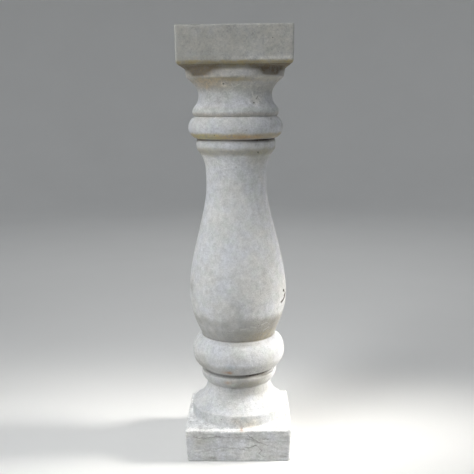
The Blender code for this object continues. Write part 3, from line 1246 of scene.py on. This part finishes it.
def grid_mesh(name: str, grid: Array, poles: tuple[Point, Point] | None) -> bpy.types.Mesh:
    """Make a mesh of rings that close round, with faces pointing outwards.

    Args:
        name: The mesh's name.
        grid: The points, as rings by columns by three, each ring counter-clockwise from above.
        poles: The middles of the first and the last ring's caps, or None for open ends.

    Returns:
        The mesh.
    """
    rows, columns = grid.shape[:2]
    index = np.arange(rows * columns).reshape(rows, columns)
    ahead = np.roll(index, -1, axis=1)
    quads = np.stack([index[:-1], ahead[:-1], ahead[1:], index[1:]], axis=-1).reshape(-1, 4)
    points = grid.reshape(-1, 3)
    corners, sizes = [quads.ravel()], [np.full(len(quads), 4)]
    if poles is not None:
        low, high = len(points), len(points) + 1
        points = np.vstack([points, poles])
        under = np.stack([np.full(columns, low), ahead[0], index[0]], axis=1)
        over = np.stack([np.full(columns, high), index[-1], ahead[-1]], axis=1)
        corners += [under.ravel(), over.ravel()]
        sizes += [np.full(2 * columns, 3)]
    corner, size = np.concatenate(corners), np.concatenate(sizes)
    mesh = bpy.data.meshes.new(name)
    mesh.vertices.add(len(points))
    mesh.vertices.foreach_set("co", points.astype(np.float32).ravel())
    mesh.loops.add(len(corner))
    mesh.loops.foreach_set("vertex_index", corner.astype(np.int32))
    mesh.polygons.add(len(size))
    starts = np.concatenate([[0], np.cumsum(size)[:-1]])
    mesh.polygons.foreach_set("loop_start", starts.astype(np.int32))
    mesh.update(calc_edges=True)
    mesh.validate()
    mesh.shade_smooth()
    return mesh


def outward_normals(grid: Array) -> Array:
    """Find a ring grid's outward directions: the step round crossed with the step up."""
    around = np.roll(grid, -1, axis=1) - np.roll(grid, 1, axis=1)
    up = np.gradient(grid, axis=0)
    normal = np.cross(around, up)
    return normal / np.maximum(np.linalg.norm(normal, axis=-1, keepdims=True), 1e-12)


@dataclass
class Baluster:
    """The whole baluster: plinth, turned shaft and abacus in one skin."""

    plinth: Block
    shaft: Shaft
    abacus: Block
    weather: Weather
    stone: WeatheredStone
    columns: Columns = field(default_factory=Columns)
    cap_shares: tuple[float, ...] = (0.1, 0.22, 0.34, 0.46, 0.58, 0.7, 0.82, 0.92)
    seat_rows: int = 5
    hollow_depth: float = 0.0016
    crown_depth: float = 0.0009
    seat_height: float = 0.0012
    seat_reach: float = 0.0022
    touching: float = 1e-6
    end_fades: tuple[float, float] = (0.0015, 0.0010)

    def rings(self) -> tuple[Array, Array]:
        """Stack all the rings, from the underside's middle to the top's.

        The plinth's top and the abacus's underside are rings that pass evenly from square to
        round.

        Returns:
            The points, as rings by columns by three, and each ring's depth in its hollow.
        """
        profile, depth = self.shaft.profile()
        turned = self.columns.round_rings(profile[:, 0], profile[:, 1])
        plinth, abacus = self.plinth.rings(self.columns), self.abacus.rings(self.columns)
        share = np.array(self.cap_shares)[:, None, None]
        level = np.array([1.0, 1.0, 0.0])
        under = plinth[0] * (share * level + np.array([0, 0, 1.0]))
        over = abacus[-1] * (share[::-1] * level + np.array([0, 0, 1.0]))
        pass_on = np.linspace(0, 1, self.seat_rows + 2)[1:-1][:, None, None]
        low = (1 - pass_on) * plinth[-1] + pass_on * turned[0]
        high = (1 - pass_on) * turned[-1] + pass_on * abacus[0]
        parts = (under, plinth, low, turned, high, abacus, over)
        depths = [depth if part is turned else np.zeros(len(part)) for part in parts]
        return np.concatenate(parts), np.concatenate(depths)

    def masks(self, points: Array, normals: Array, depth: Array) -> dict[str, Array]:
        """Work out where the stone is hollow, where it is an edge and where it is rough.

        A hollow is a deep place in the shaft's outline, or the corner where the shaft meets the
        plinth. An edge is a crown of that outline, or an arris of a block.

        Args:
            points: Places, three coordinates to a row.
            normals: Outward directions, three numbers to a row.
            depth: How deep each point lies in its hollow.

        Returns:
            Numbers from 0 to 1 by name: hollow, edge, rough, arris and plinth.
        """
        x, y, z = points.T
        radius = np.hypot(x, y)
        on_plinth = z < self.plinth.top - self.touching
        on_abacus = z > self.abacus.foot + self.touching
        gap = np.where(on_plinth, self.plinth.edge_gap(points), self.abacus.edge_gap(points))
        near = np.exp(-((gap / self.weather.arris_width) ** 2))
        arris = np.where(on_plinth | on_abacus, near, 0)
        low, high = self.end_fades
        arris = arris * ease(z, 0.0, low) * ease(z, self.abacus.top, self.abacus.top - high)
        seat = np.exp(-((z - self.plinth.top) / self.seat_height) ** 2)
        seat = seat * np.exp(-(((radius - self.shaft.drum_radius) / self.seat_reach) ** 2))
        # The hollow mask is where the material paints shade with grime: the shaft's hollows and its
        # seat.
        hollow = 0.45 * np.clip(depth / self.hollow_depth, 0, 1) + 0.35 * seat
        crown = np.clip(-depth / self.crown_depth, 0, 1) * ease(normals[:, 2], -0.9, 0.1)
        side = ease(abs(normals[:, :2]).max(axis=1), 0.7, 0.95) * on_plinth
        front = ease(-normals[:, 1], 0.5, 0.9)
        flaking = side * (0.45 + 0.55 * front)
        return {
            "hollow": np.clip(hollow, 0, 1), "edge": np.clip(0.55 * crown + 0.8 * arris, 0, 1),
            "rough": flaking, "arris": arris + 0.25 * crown, "plinth": flaking,
        }

    def build(self) -> bpy.types.Object:
        """Build the worn skin with its attributes and its material.

        Returns:
            The piece, at the origin.
        """
        grid, depth = self.rings()
        shape = grid.shape
        normals = outward_normals(grid).reshape(-1, 3)
        points = grid.reshape(-1, 3)
        deep = np.repeat(depth, shape[1])
        mask = self.masks(points, normals, deep)
        worn = self.weather.erode(points, normals, mask["arris"], mask["plinth"])
        broken = np.zeros(len(points))
        for corner in self.weather.corners:
            worn, fresh = corner.cut(worn)
            broken = np.maximum(broken, fresh)
        lowest, highest = (np.array(corner) for corner in CAD_BOX)
        worn = np.clip(worn, lowest, highest)
        poles = ((0.0, 0.0, float(lowest[2])), (0.0, 0.0, float(highest[2])))
        mesh = grid_mesh("baluster_stone", worn.reshape(shape), poles)
        colouring = self.weather.colours(np.vstack([points, poles]))
        mask["rough"] = np.maximum(mask["rough"], broken)
        for name in ("hollow", "edge", "rough"):
            values = np.concatenate([mask[name], [0, 0]]).astype(np.float32)
            mesh.attributes.new(name, "FLOAT", "POINT").data.foreach_set("value", values)
        colours = colouring.astype(np.float32).ravel()
        mesh.attributes.new("colouring", "FLOAT_COLOR", "POINT").data.foreach_set("color", colours)
        mesh.materials.append(self.stone.material())
        piece = bpy.data.objects.new("baluster_stone", mesh)
        bpy.context.scene.collection.objects.link(piece)
        log.info("%s: %d rings of %d, %d faces", piece.name, *shape[:2], len(mesh.polygons))
        return piece


# The studio


@dataclass(frozen=True)
class SoftLamp:
    """A round soft light aimed at a point of the baluster's axis."""

    name: str
    bearing: float
    rise: float
    distance: float
    side: float
    power: float
    colour: Colour
    aim: float
    spread: float

    def build(self) -> bpy.types.Object:
        """Hang the light at its bearing from the front and its rise above the horizon.

        Returns:
            The light.
        """
        lamp = bpy.data.lights.new(self.name, "AREA")
        lamp.shape = "DISK"
        lamp.size, lamp.energy, lamp.color = self.side, self.power, self.colour
        lamp.spread = math.radians(self.spread)
        light = bpy.data.objects.new(self.name, lamp)
        turn, up = math.radians(self.bearing), math.radians(self.rise)
        away = Vector((math.sin(turn) * math.cos(up), -math.cos(turn) * math.cos(up), math.sin(up)))
        light.location = Vector((0, 0, self.aim)) + away * self.distance
        light.rotation_euler = (-away).to_track_quat("-Z", "Y").to_euler()
        light.visible_camera = False
        bpy.context.scene.collection.objects.link(light)
        log.info("%s: %.0f W at bearing %.0f", self.name, self.power, self.bearing)
        return light


@dataclass(frozen=True)
class Studio:
    """The pale floor that curves up into a wall all round, the soft lights and the camera."""

    finish: PaleFloor
    lamps: tuple[SoftLamp, ...]
    floor_radius: float = 2.6
    bend_radius: float = 1.3
    wall_height: float = 1.6
    air_colour: Colour = (0.93, 0.96, 1.0)
    air_strength: float = 0.466
    camera_height: float = 0.5052
    camera_distance: float = 1.0672
    camera_bearing: float = 0.27
    camera_aside: float = -0.011
    camera_pitch: float = 10.075
    camera_roll: float = -0.74
    focal_pixels: float = 738.3
    picture_width: float = 474.0

    def floor(self) -> bpy.types.Object:
        """Make the floor: a disc, a quarter circle up, and a wall, turned about Z.

        Returns:
            The floor, which is stage and not part of the baluster.
        """
        turn = np.linspace(0, math.pi / 2, 24)
        flat = np.linspace(0.0001, self.floor_radius, 24)[:-1]
        radius = np.concatenate([flat, self.floor_radius + self.bend_radius * np.sin(turn)])
        level = np.concatenate([0 * flat, self.bend_radius * (1 - np.cos(turn))])
        radius = np.append(radius, radius[-1])
        level = np.append(level, level[-1] + self.wall_height)
        angle = np.linspace(0, -2 * math.pi, 96, endpoint=False)[None, :]
        grid = np.stack([radius[:, None] * np.cos(angle), radius[:, None] * np.sin(angle),
                         level[:, None] + 0 * angle], axis=-1)
        floor = bpy.data.objects.new("floor", grid_mesh("floor", grid, None))
        floor.data.materials.append(self.finish.material())
        bpy.context.scene.collection.objects.link(floor)
        return floor

    def air(self) -> None:
        """Fill the room with faint even light."""
        world = bpy.data.worlds.new("air")
        bpy.context.scene.world = world
        world.use_nodes = True
        background = world.node_tree.nodes["Background"]
        background.inputs["Color"].default_value = (*self.air_colour, 1.0)
        background.inputs["Strength"].default_value = self.air_strength

    def camera(self) -> bpy.types.Object:
        """Stand the camera where the photograph was taken from.

        Returns:
            The camera.
        """
        lens = bpy.data.cameras.new("camera")
        lens.sensor_width = 36.0
        lens.lens = self.focal_pixels / self.picture_width * lens.sensor_width
        camera = bpy.data.objects.new("camera", lens)
        turn = math.radians(self.camera_bearing)
        place = Vector((math.sin(turn), -math.cos(turn), 0)) * self.camera_distance
        place.z = self.camera_height
        aim = Euler((math.radians(90 - self.camera_pitch), 0,
                     turn - math.radians(self.camera_aside))).to_matrix()
        roll = Matrix.Rotation(math.radians(self.camera_roll), 3, "Z")
        camera.matrix_world = Matrix.Translation(place) @ (aim @ roll).to_4x4()
        bpy.context.scene.collection.objects.link(camera)
        bpy.context.scene.camera = camera
        return camera

    def build(self) -> None:
        """Set up the whole studio."""
        self.camera()
        self.floor()
        self.air()
        for lamp in self.lamps:
            lamp.build()
        bpy.context.scene.view_settings.view_transform = "Standard"


PLINTH = Block(
    foot=0.0, height=0.0480, foot_width=0.1480, top_width=0.1524, foot_arris=0.0016,
    side_arris=0.0028, top_arris=0.0026, bow=0.0009, twist=-1.05, aside=-0.0006, side_rows=38,
)
ABACUS = Block(
    foot=0.5585, height=0.0515, foot_width=0.1550, top_width=0.1564, foot_arris=0.0054,
    side_arris=0.0028, top_arris=0.0012, side_rows=22, arris_rows=5,
)

QUIRK = 0.1714  # height of the crease between the body and the lower torus
WEATHER = Weather(
    corners=(
        BrokenCorner(PLINTH, -1, 1, End.TOP, 0.0056),
        BrokenCorner(PLINTH, 1, -1, End.FOOT, 0.0030),
        BrokenCorner(ABACUS, 1, -1, End.FOOT, 0.0036),
    ),
    ledges=(
        Ledge(((-0.056, 0.0325), (-0.048, 0.0336), (-0.034, 0.0382), (-0.010, 0.0375),
               (0.0136, 0.0362), (0.0264, 0.0299), (0.0393, 0.0251), (0.052, 0.0240)),
              depth=0.0011, fade=0.012),
    ),
    dents=(
        Dent(-0.0154, 0.5346, 0.0024, 0.0012, 0.2),
        Dent(0.0262, 0.5090, 0.0040, 0.0014),
        Dent(0.0308, 0.5150, 0.0038, 0.0012),
        Dent(0.0330, 0.5100, 0.0075, 0.0006, 0.5, 1.3),
        Dent(0.0305, 0.4421, 0.0022, 0.0012, 0.2),
        Dent(0.0665, 0.2395, 0.0040, 0.0011, 0.5),
        Dent(0.0650, 0.2310, 0.0036, 0.0012, 0.5),
        Dent(0.0634, 0.2245, 0.0036, 0.0011, 0.5),
        Dent(-0.0256, 0.0604, 0.0020, 0.0013, 0.2),
        Dent(-0.0085, 0.1079, 0.0048, -0.0011, 0.4, 1.3),
        Dent(0.0163, 0.0221, 0.0050, -0.0009, 0.4, 1.6),
        Dent(0.0335, 0.0079, 0.0045, -0.0008, 0.4, 1.5),
        Dent(-0.0170, 0.4092, 0.0020, 0.0007, 0.2),
    ),
    colourings=(
        # The abacus's dull sides, darkened by dirt and painted shade, with painted light on its
        # right;
        # then the plinth's sides, with painted light and shade, and a painted highlight along its
        # top edge.
        ColourBand(0.5620, 0.6200, BEIGE, 0.66, 0.003, mottle=0.10),
        ColourBand(0.5625, 0.6200, DRAB, 0.42, 0.002, mottle=1.0),
        ColourBand(0.5643, 0.5690, CREAM, 0.60, 0.0014, Reach.ONE_SIDE, 34, 26, 0.6),
        ColourBand(0.5640, 0.5700, OCHRE, 0.30, 0.0016, Reach.ONE_SIDE, -34, 20, 0.6),
        # Painted light on the abacus's right side.
        ColourBand(0.5640, 0.6200, CREAM, 0.14, 0.002, Reach.ONE_SIDE, 42, 22, 0.4),
        ColourBand(0.5630, 0.5730, BLUE, 0.28, 0.003, mottle=1.0),
        # Painted shade on the plinth's left and painted light on its front and right.
        ColourBand(-0.010, 0.0440, GREY, 0.06, 0.001, Reach.ONE_SIDE, -40, 30, 0.9),
        ColourBand(-0.010, 0.0450, PAINTED_LIGHT_WHITE, 0.18, 0.001, Reach.ONE_SIDE, 20, 34),
        # Painted highlight along the plinth's top edge.
        ColourBand(0.0462, 0.0484, PAINTED_LIGHT_WHITE, 0.92, 0.0012, mottle=0.15),
        # The abacus's foot: an ochre arris, and under it a dark olive band of dirt and painted
        # shade.
        ColourBand(0.5540, 0.5600, OLIVE, 0.80, 0.0008, mottle=0.3),
        ColourBand(0.5584, 0.5640, OCHRE, 0.90, 0.0007, mottle=0.30),
        ColourBand(0.5590, 0.5608, OLIVE, 0.60, 0.0006, mottle=0.3),
        # Fillet and cavetto: painted shadow and dirt under the abacus's corners, painted shade on
        # the right, and a pale line painted as a highlight along the fillet's foot.
        ColourBand(0.5450, 0.5570, TAN, 0.30, 0.001),
        # Painted shadow of the abacus's corners on the fillet, with dirt.
        ShadowAndDirtUnderBlock(0.0775, 0.5585, 0.0132, 0.80, BROWN, 0.74),
        ColourBand(0.5440, 0.5560, CLAY, 0.62, 0.001, Reach.ONE_SIDE, -46, 16),
        # Painted shade, with dirt, on the fillet's right.
        ColourBand(0.5450, 0.5580, UMBER, 0.46, 0.001, Reach.ONE_SIDE, 58, 20, 0.3),
        # Painted highlight along the fillet's foot, with painted shade over it on the right.
        ColourBand(0.5437, 0.5450, SAND, 0.70, 0.0006),
        ColourBand(0.5430, 0.5458, DRAB, 0.60, 0.0006, Reach.ONE_SIDE, 44, 16),
        ColourBand(0.5372, 0.5430, OCHRE, 0.40, 0.0012, mottle=0.25),
        ColourBand(0.5372, 0.5430, OCHRE, 0.80, 0.0012, Reach.ONE_SIDE, -14, 26, 0.2),
        ColourBand(0.5240, 0.5400, SAND, 0.55, 0.004),
        ColourBand(0.5285, 0.5420, CLAY, 0.95, 0.004, Reach.ONE_SIDE, -38, 22, 0.4),
        # Painted shade on the right of the cavetto and the collar.
        ColourBand(0.5190, 0.5400, DRAB, 0.50, 0.005, Reach.ONE_SIDE, 66, 20),
        ColourBand(0.5230, 0.5330, GREEN, 0.25, 0.004, Reach.ONE_SIDE, 5, 25),
        # Collar, ring, upper torus, bead and necking, with painted light on the left, painted shade
        # on the right, and painted shade with dirt in the grooves.
        # Painted light on the collar's left.
        ColourBand(0.5040, 0.5240, PAINTED_LIGHT_WHITE, 0.28, 0.006, Reach.ONE_SIDE, -40, 22),
        ColourBand(0.5040, 0.5130, LILAC, 0.40, 0.003),
        ColourBand(0.4965, 0.5020, GREEN, 0.40, 0.0018, mottle=0.5),
        # Painted shade with dirt at the ring's foot.
        ColourBand(0.4905, 0.4962, TAN, 0.50, 0.0020),
        ColourBand(0.4890, 0.4950, SLATE, 0.14, 0.0022, mottle=0.5),
        ColourBand(0.4600, 0.4678, HONEY, 0.90, 0.0018, mottle=0.3),
        ColourBand(0.4598, 0.4655, RUST, 0.50, 0.0012, Reach.ONE_SIDE, 12, 22),
        ColourBand(0.4598, 0.4675, MOSS, 0.75, 0.0014, Reach.ONE_SIDE, -45, 18),
        # Painted shade on the right of the torus's underside.
        ColourBand(0.4598, 0.4680, DRAB, 0.55, 0.003, Reach.ONE_SIDE, 55, 22),
        # Painted shade with dirt in the groove under the upper torus, darkest on the right.
        ColourBand(0.4566, 0.4594, BROWN, 0.55, 0.0010, mottle=0.3),
        ColourBand(0.4564, 0.4596, PAINTED_SHADE_BLACK, 0.90, 0.0008, Reach.ONE_SIDE, 42, 20, 0.1),
        ColourBand(0.4566, 0.4594, PAINTED_SHADE_BLACK, 0.30, 0.0008, Reach.ONE_SIDE, -56, 12, 0.1),
        ColourBand(0.4375, 0.4472, OCHRE, 0.42, 0.0026, mottle=0.4),
        ColourBand(0.4375, 0.4472, OLIVE, 0.30, 0.0026, mottle=0.4),
        # Painted shade on the necking's right and painted light on its left.
        ColourBand(0.4270, 0.4455, OLIVE, 0.36, 0.0050, Reach.ONE_SIDE, 44, 16),
        ColourBand(0.4130, 0.4370, PAINTED_LIGHT_WHITE, 0.28, 0.010, Reach.ONE_SIDE, -30, 40),
        ColourBand(0.4100, 0.4380, DRAB, 0.26, 0.008, Reach.ONE_SIDE, 52, 22),
        # Lower belly, lower torus, lip and scotia, with painted shade in the crease under the torus
        # and a painted shadow over the lip and the top of the scotia.
        ColourBand(0.1660, 0.2075, DRAB, 0.68, 0.0065, mottle=0.55, sill=QUIRK),
        ColourBand(0.1650, 0.1900, DRAB, 0.45, 0.0035, Reach.ONE_SIDE, 15, 35, 0.6, QUIRK),
        ColourBand(0.1640, 0.2070, DRAB, 0.70, 0.0060, Reach.ONE_SIDE, 56, 24, 0.4, QUIRK),
        ColourBand(0.1640, 0.2050, SLATE, 0.62, 0.0060, Reach.ONE_SIDE, 46, 18, 0.6, QUIRK),
        ColourBand(0.1680, 0.1850, OCHRE, 0.34, 0.0050, Reach.ONE_SIDE, 38, 24, sill=QUIRK),
        ColourBand(0.1675, 0.1730, DRAB, 0.60, 0.0012, Reach.ONE_SIDE, 2, 20, 0.4),
        ColourBand(0.2060, 0.2560, DRAB, 0.30, 0.018, Reach.ONE_SIDE, 2, 24, 0.9),
        ColourBand(0.1225, 0.1380, DRAB, 0.62, 0.0040, mottle=0.5),
        ColourBand(0.1300, 0.1500, DRAB, 0.40, 0.0070, Reach.ONE_SIDE, -46, 13),
        ColourBand(0.1300, 0.1530, DRAB, 0.40, 0.0070, Reach.ONE_SIDE, 42, 15),
        # Painted shade in the crease under the lower torus and on the lip's right, darkest on the
        # right.
        ColourBand(0.1173, 0.1214, SLATE, 0.32, 0.0010, mottle=0.3),
        ColourBand(0.1173, 0.1214, SLATE, 0.24, 0.0010, Reach.ONE_SIDE, 14, 30, 0.3),
        ColourBand(0.1120, 0.1190, SLATE, 0.70, 0.0016, Reach.ONE_SIDE, 44, 13),
        ColourBand(0.1180, 0.1220, PAINTED_SHADE_BLACK, 1.00, 0.0007, Reach.ONE_SIDE, 34, 24, 0.1),
        Spot(-0.0146, 0.1286, 0.0060, RUST, 0.70, 0.5),
        Spot(-0.0108, 0.1382, 0.0070, BLUE, 0.60, 0.4),
        # Painted shade on the lip's underside, and a painted cast shadow across the lip and the
        # scotia.
        ColourBand(0.1000, 0.1175, GREY, 0.24, 0.0030),
        ColourBand(0.1010, 0.1172, SLATE, 0.78, 0.0020, Reach.ONE_SIDE, 10, 26, 0.4),
        ColourBand(0.1000, 0.1120, OLIVE, 0.45, 0.0030, Reach.ONE_SIDE, 25, 28),
        ColourBand(0.0870, 0.1020, SLATE, 0.80, 0.0060, Reach.ONE_SIDE, 24, 32, 0.4),
        Spot(-0.0142, 0.1105, 0.0050, RUST, 0.55, 0.6),
        Spot(-0.0085, 0.1079, 0.0045, GREEN, 0.70, 0.7),
        # Drum and plinth: painted light on the drum's front, painted shade on its right and a
        # painted shadow on its left, with spots on both.
        ColourBand(0.0480, 0.0660, PAINTED_LIGHT_WHITE, 0.22, 0.0030, Reach.ONE_SIDE, -14, 34),
        ColourBand(0.0490, 0.0650, GREY, 0.30, 0.0020, Reach.ONE_SIDE, 40, 16),
        Spot(-0.0040, 0.0600, 0.0085, CLAY, 0.30, 0.7),
        Spot(0.0150, 0.0540, 0.0120, CLAY, 0.36, 0.45),
        Spot(0.0030, 0.0485, 0.0022, RUST, 0.65, 1.2),
        Spot(0.0050, 0.0640, 0.0035, BLUE, 0.50, 0.5),
        # Painted shadow on the drum's left.
        ColourBand(0.0480, 0.0680, BLUE, 0.35, 0.004, Reach.ONE_SIDE, -55, 18),
        Spot(-0.0401, 0.0052, 0.0060, DRAB, 0.50, 0.6),
        Spot(0.0624, 0.0087, 0.0060, DRAB, 0.45, 0.6),
        Spot(-0.0245, 0.0190, 0.0050, DRAB, 0.35, 0.6),
        Spot(-0.0550, 0.0300, 0.0110, OLIVE, 0.22, 0.8),
        # Faint grey marks on the body, and pale ones about the scars of the collar.
        Spot(-0.0664, 0.2468, 0.0030, GREY, 0.70, 3.0),
        Spot(-0.0371, 0.2747, 0.0026, GREY, 0.60, 1.3),
        Spot(-0.0350, 0.2639, 0.0022, GREY, 0.60, 1.6),
        Spot(0.0373, 0.2738, 0.0026, GREY, 0.60, 1.6),
        Spot(0.0262, 0.5133, 0.0034, CREAM, 0.60),
        Spot(0.0300, 0.5130, 0.0075, CREAM, 0.55),
        Spot(-0.0154, 0.5346, 0.0040, CREAM, 0.55),
    ),
)

CRACKS = (
    # The plinth's front: its broken skin and the lines that cross it.
    Mark(((-0.0667, 0.0377), (-0.0566, 0.0368), (-0.0466, 0.0366), (-0.0351, 0.0388),
          (-0.0279, 0.0395)), 0.0009, 0.42),
    Mark(((-0.0279, 0.0383), (-0.0100, 0.0380), (0.0108, 0.0383)), 0.0008, 0.32),
    Mark(((0.0108, 0.0422), (0.0148, 0.0382), (0.0172, 0.0380), (0.0204, 0.0338), (0.0240, 0.0326),
          (0.0262, 0.0296), (0.0322, 0.0285)), 0.0011, 0.50),
    Mark(((0.0085, 0.0352), (0.0193, 0.0328), (0.0251, 0.0296)), 0.0009, 0.50),
    Mark(((0.0330, 0.0350), (0.0409, 0.0348)), 0.0011, 0.55),
    Mark(((0.0322, 0.0279), (0.0360, 0.0268), (0.0394, 0.0247)), 0.0009, 0.35),
    Mark(((0.0085, 0.0218), (0.0149, 0.0219), (0.0236, 0.0249)), 0.0013, 0.50),
    Mark(((-0.0355, 0.0193), (-0.0210, 0.0223), (-0.0100, 0.0208), (0.0077, 0.0188)), 0.0009, 0.36),
    Mark(((0.0240, 0.0245), (0.0322, 0.0170), (0.0278, 0.0123), (0.0350, 0.0075)), 0.0010, 0.42),
    # Pits of the shaft, and the chips at the body's right edge.
    Mark(((-0.0154, 0.5346),), 0.0016, 0.95),
    Mark(((0.0311, 0.5180), (0.0283, 0.5140)), 0.0008, 0.60),
    Mark(((0.0255, 0.5090),), 0.0018, 0.90),
    Mark(((0.0305, 0.4421),), 0.0016, 0.90),
    Mark(((-0.0256, 0.0604),), 0.0014, 0.85),
    Mark(((-0.0068, 0.4720),), 0.0016, 0.45),
    Mark(((0.0488, 0.4874),), 0.0016, 0.55),
    Mark(((-0.0170, 0.4092),), 0.0014, 0.45),
    Mark(((-0.0006, 0.2408), (0.0048, 0.2388)), 0.0027, 1.0, 70.0),
    Mark(((0.0092, 0.2340), (0.0026, 0.2320), (0.0054, 0.2302)), 0.0028, 1.0, 70.0),
    Mark(((0.0034, 0.2285), (-0.0020, 0.2262), (-0.0078, 0.2244)), 0.0026, 1.0, 70.0),
)
SCRATCHES = (
    Mark(((-0.0046, 0.5347), (-0.0027, 0.5302)), 0.0009, 0.70),
    Mark(((-0.0014, 0.5301), (0.0068, 0.5346)), 0.0009, 0.60),
    Mark(((0.0229, 0.5234), (0.0250, 0.5150)), 0.0012, 0.70),
    Mark(((0.0225, 0.5142), (0.0335, 0.5082)), 0.0013, 0.75),
    Mark(((0.0262, 0.5180), (0.0290, 0.5060)), 0.0012, 0.65),
    Mark(((0.0318, 0.5172), (0.0352, 0.5118)), 0.0012, 0.60),
    Mark(((0.0305, 0.5105),), 0.0022, 0.85),
    Mark(((0.0262, 0.5133),), 0.0020, 0.75),
    Mark(((0.0136, 0.4061), (0.0364, 0.4156)), 0.0006, 0.30),
    Mark(((-0.0130, 0.1905), (-0.0060, 0.1916)), 0.0008, 0.32),
    Mark(((0.0030, 0.1931), (0.0110, 0.1940)), 0.0008, 0.32),
    Mark(((0.0180, 0.1975), (0.0260, 0.1950)), 0.0008, 0.30),
    Mark(((0.0330, 0.1985), (0.0425, 0.2004)), 0.0008, 0.28),
    Mark(((0.0360, 0.1880), (0.0440, 0.1914)), 0.0008, 0.30),
    Mark(((-0.0286, 0.4880), (-0.0263, 0.4906)), 0.0010, 0.60),
)

LAMPS = (
    SoftLamp("key", -45.0, 45.0, 1.8, 0.8, 1.46, (0.99, 1.0, 1.0), -0.05, 50.0),
    SoftLamp("high_left", -65.0, 60.0, 2.0, 0.9, 7.0, (0.99, 0.995, 1.0), 0.30, 180.0),
    SoftLamp("low_right", 90.0, 25.0, 1.3, 0.35, 0.88, (1.0, 0.965, 0.91), 0.02, 26.0),
    SoftLamp("behind", 180.0, 40.0, 2.0, 0.9, 5.0, (1.0, 0.99, 0.97), 0.30, 180.0),
)


def main() -> None:
    """Build the studio and the baluster, and put the baluster in the solid's place."""
    logging.basicConfig(level=logging.INFO, format="%(name)s: %(message)s")
    studio = Studio(finish=PaleFloor(), lamps=LAMPS)
    studio.build()
    stone = WeatheredStone(CRACKS, SCRATCHES)
    baluster = Baluster(PLINTH, Shaft(), ABACUS, WEATHER, stone)
    piece = baluster.build()
    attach(piece, BODY)
    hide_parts(NODE)


if __name__ == "__main__":
    main()
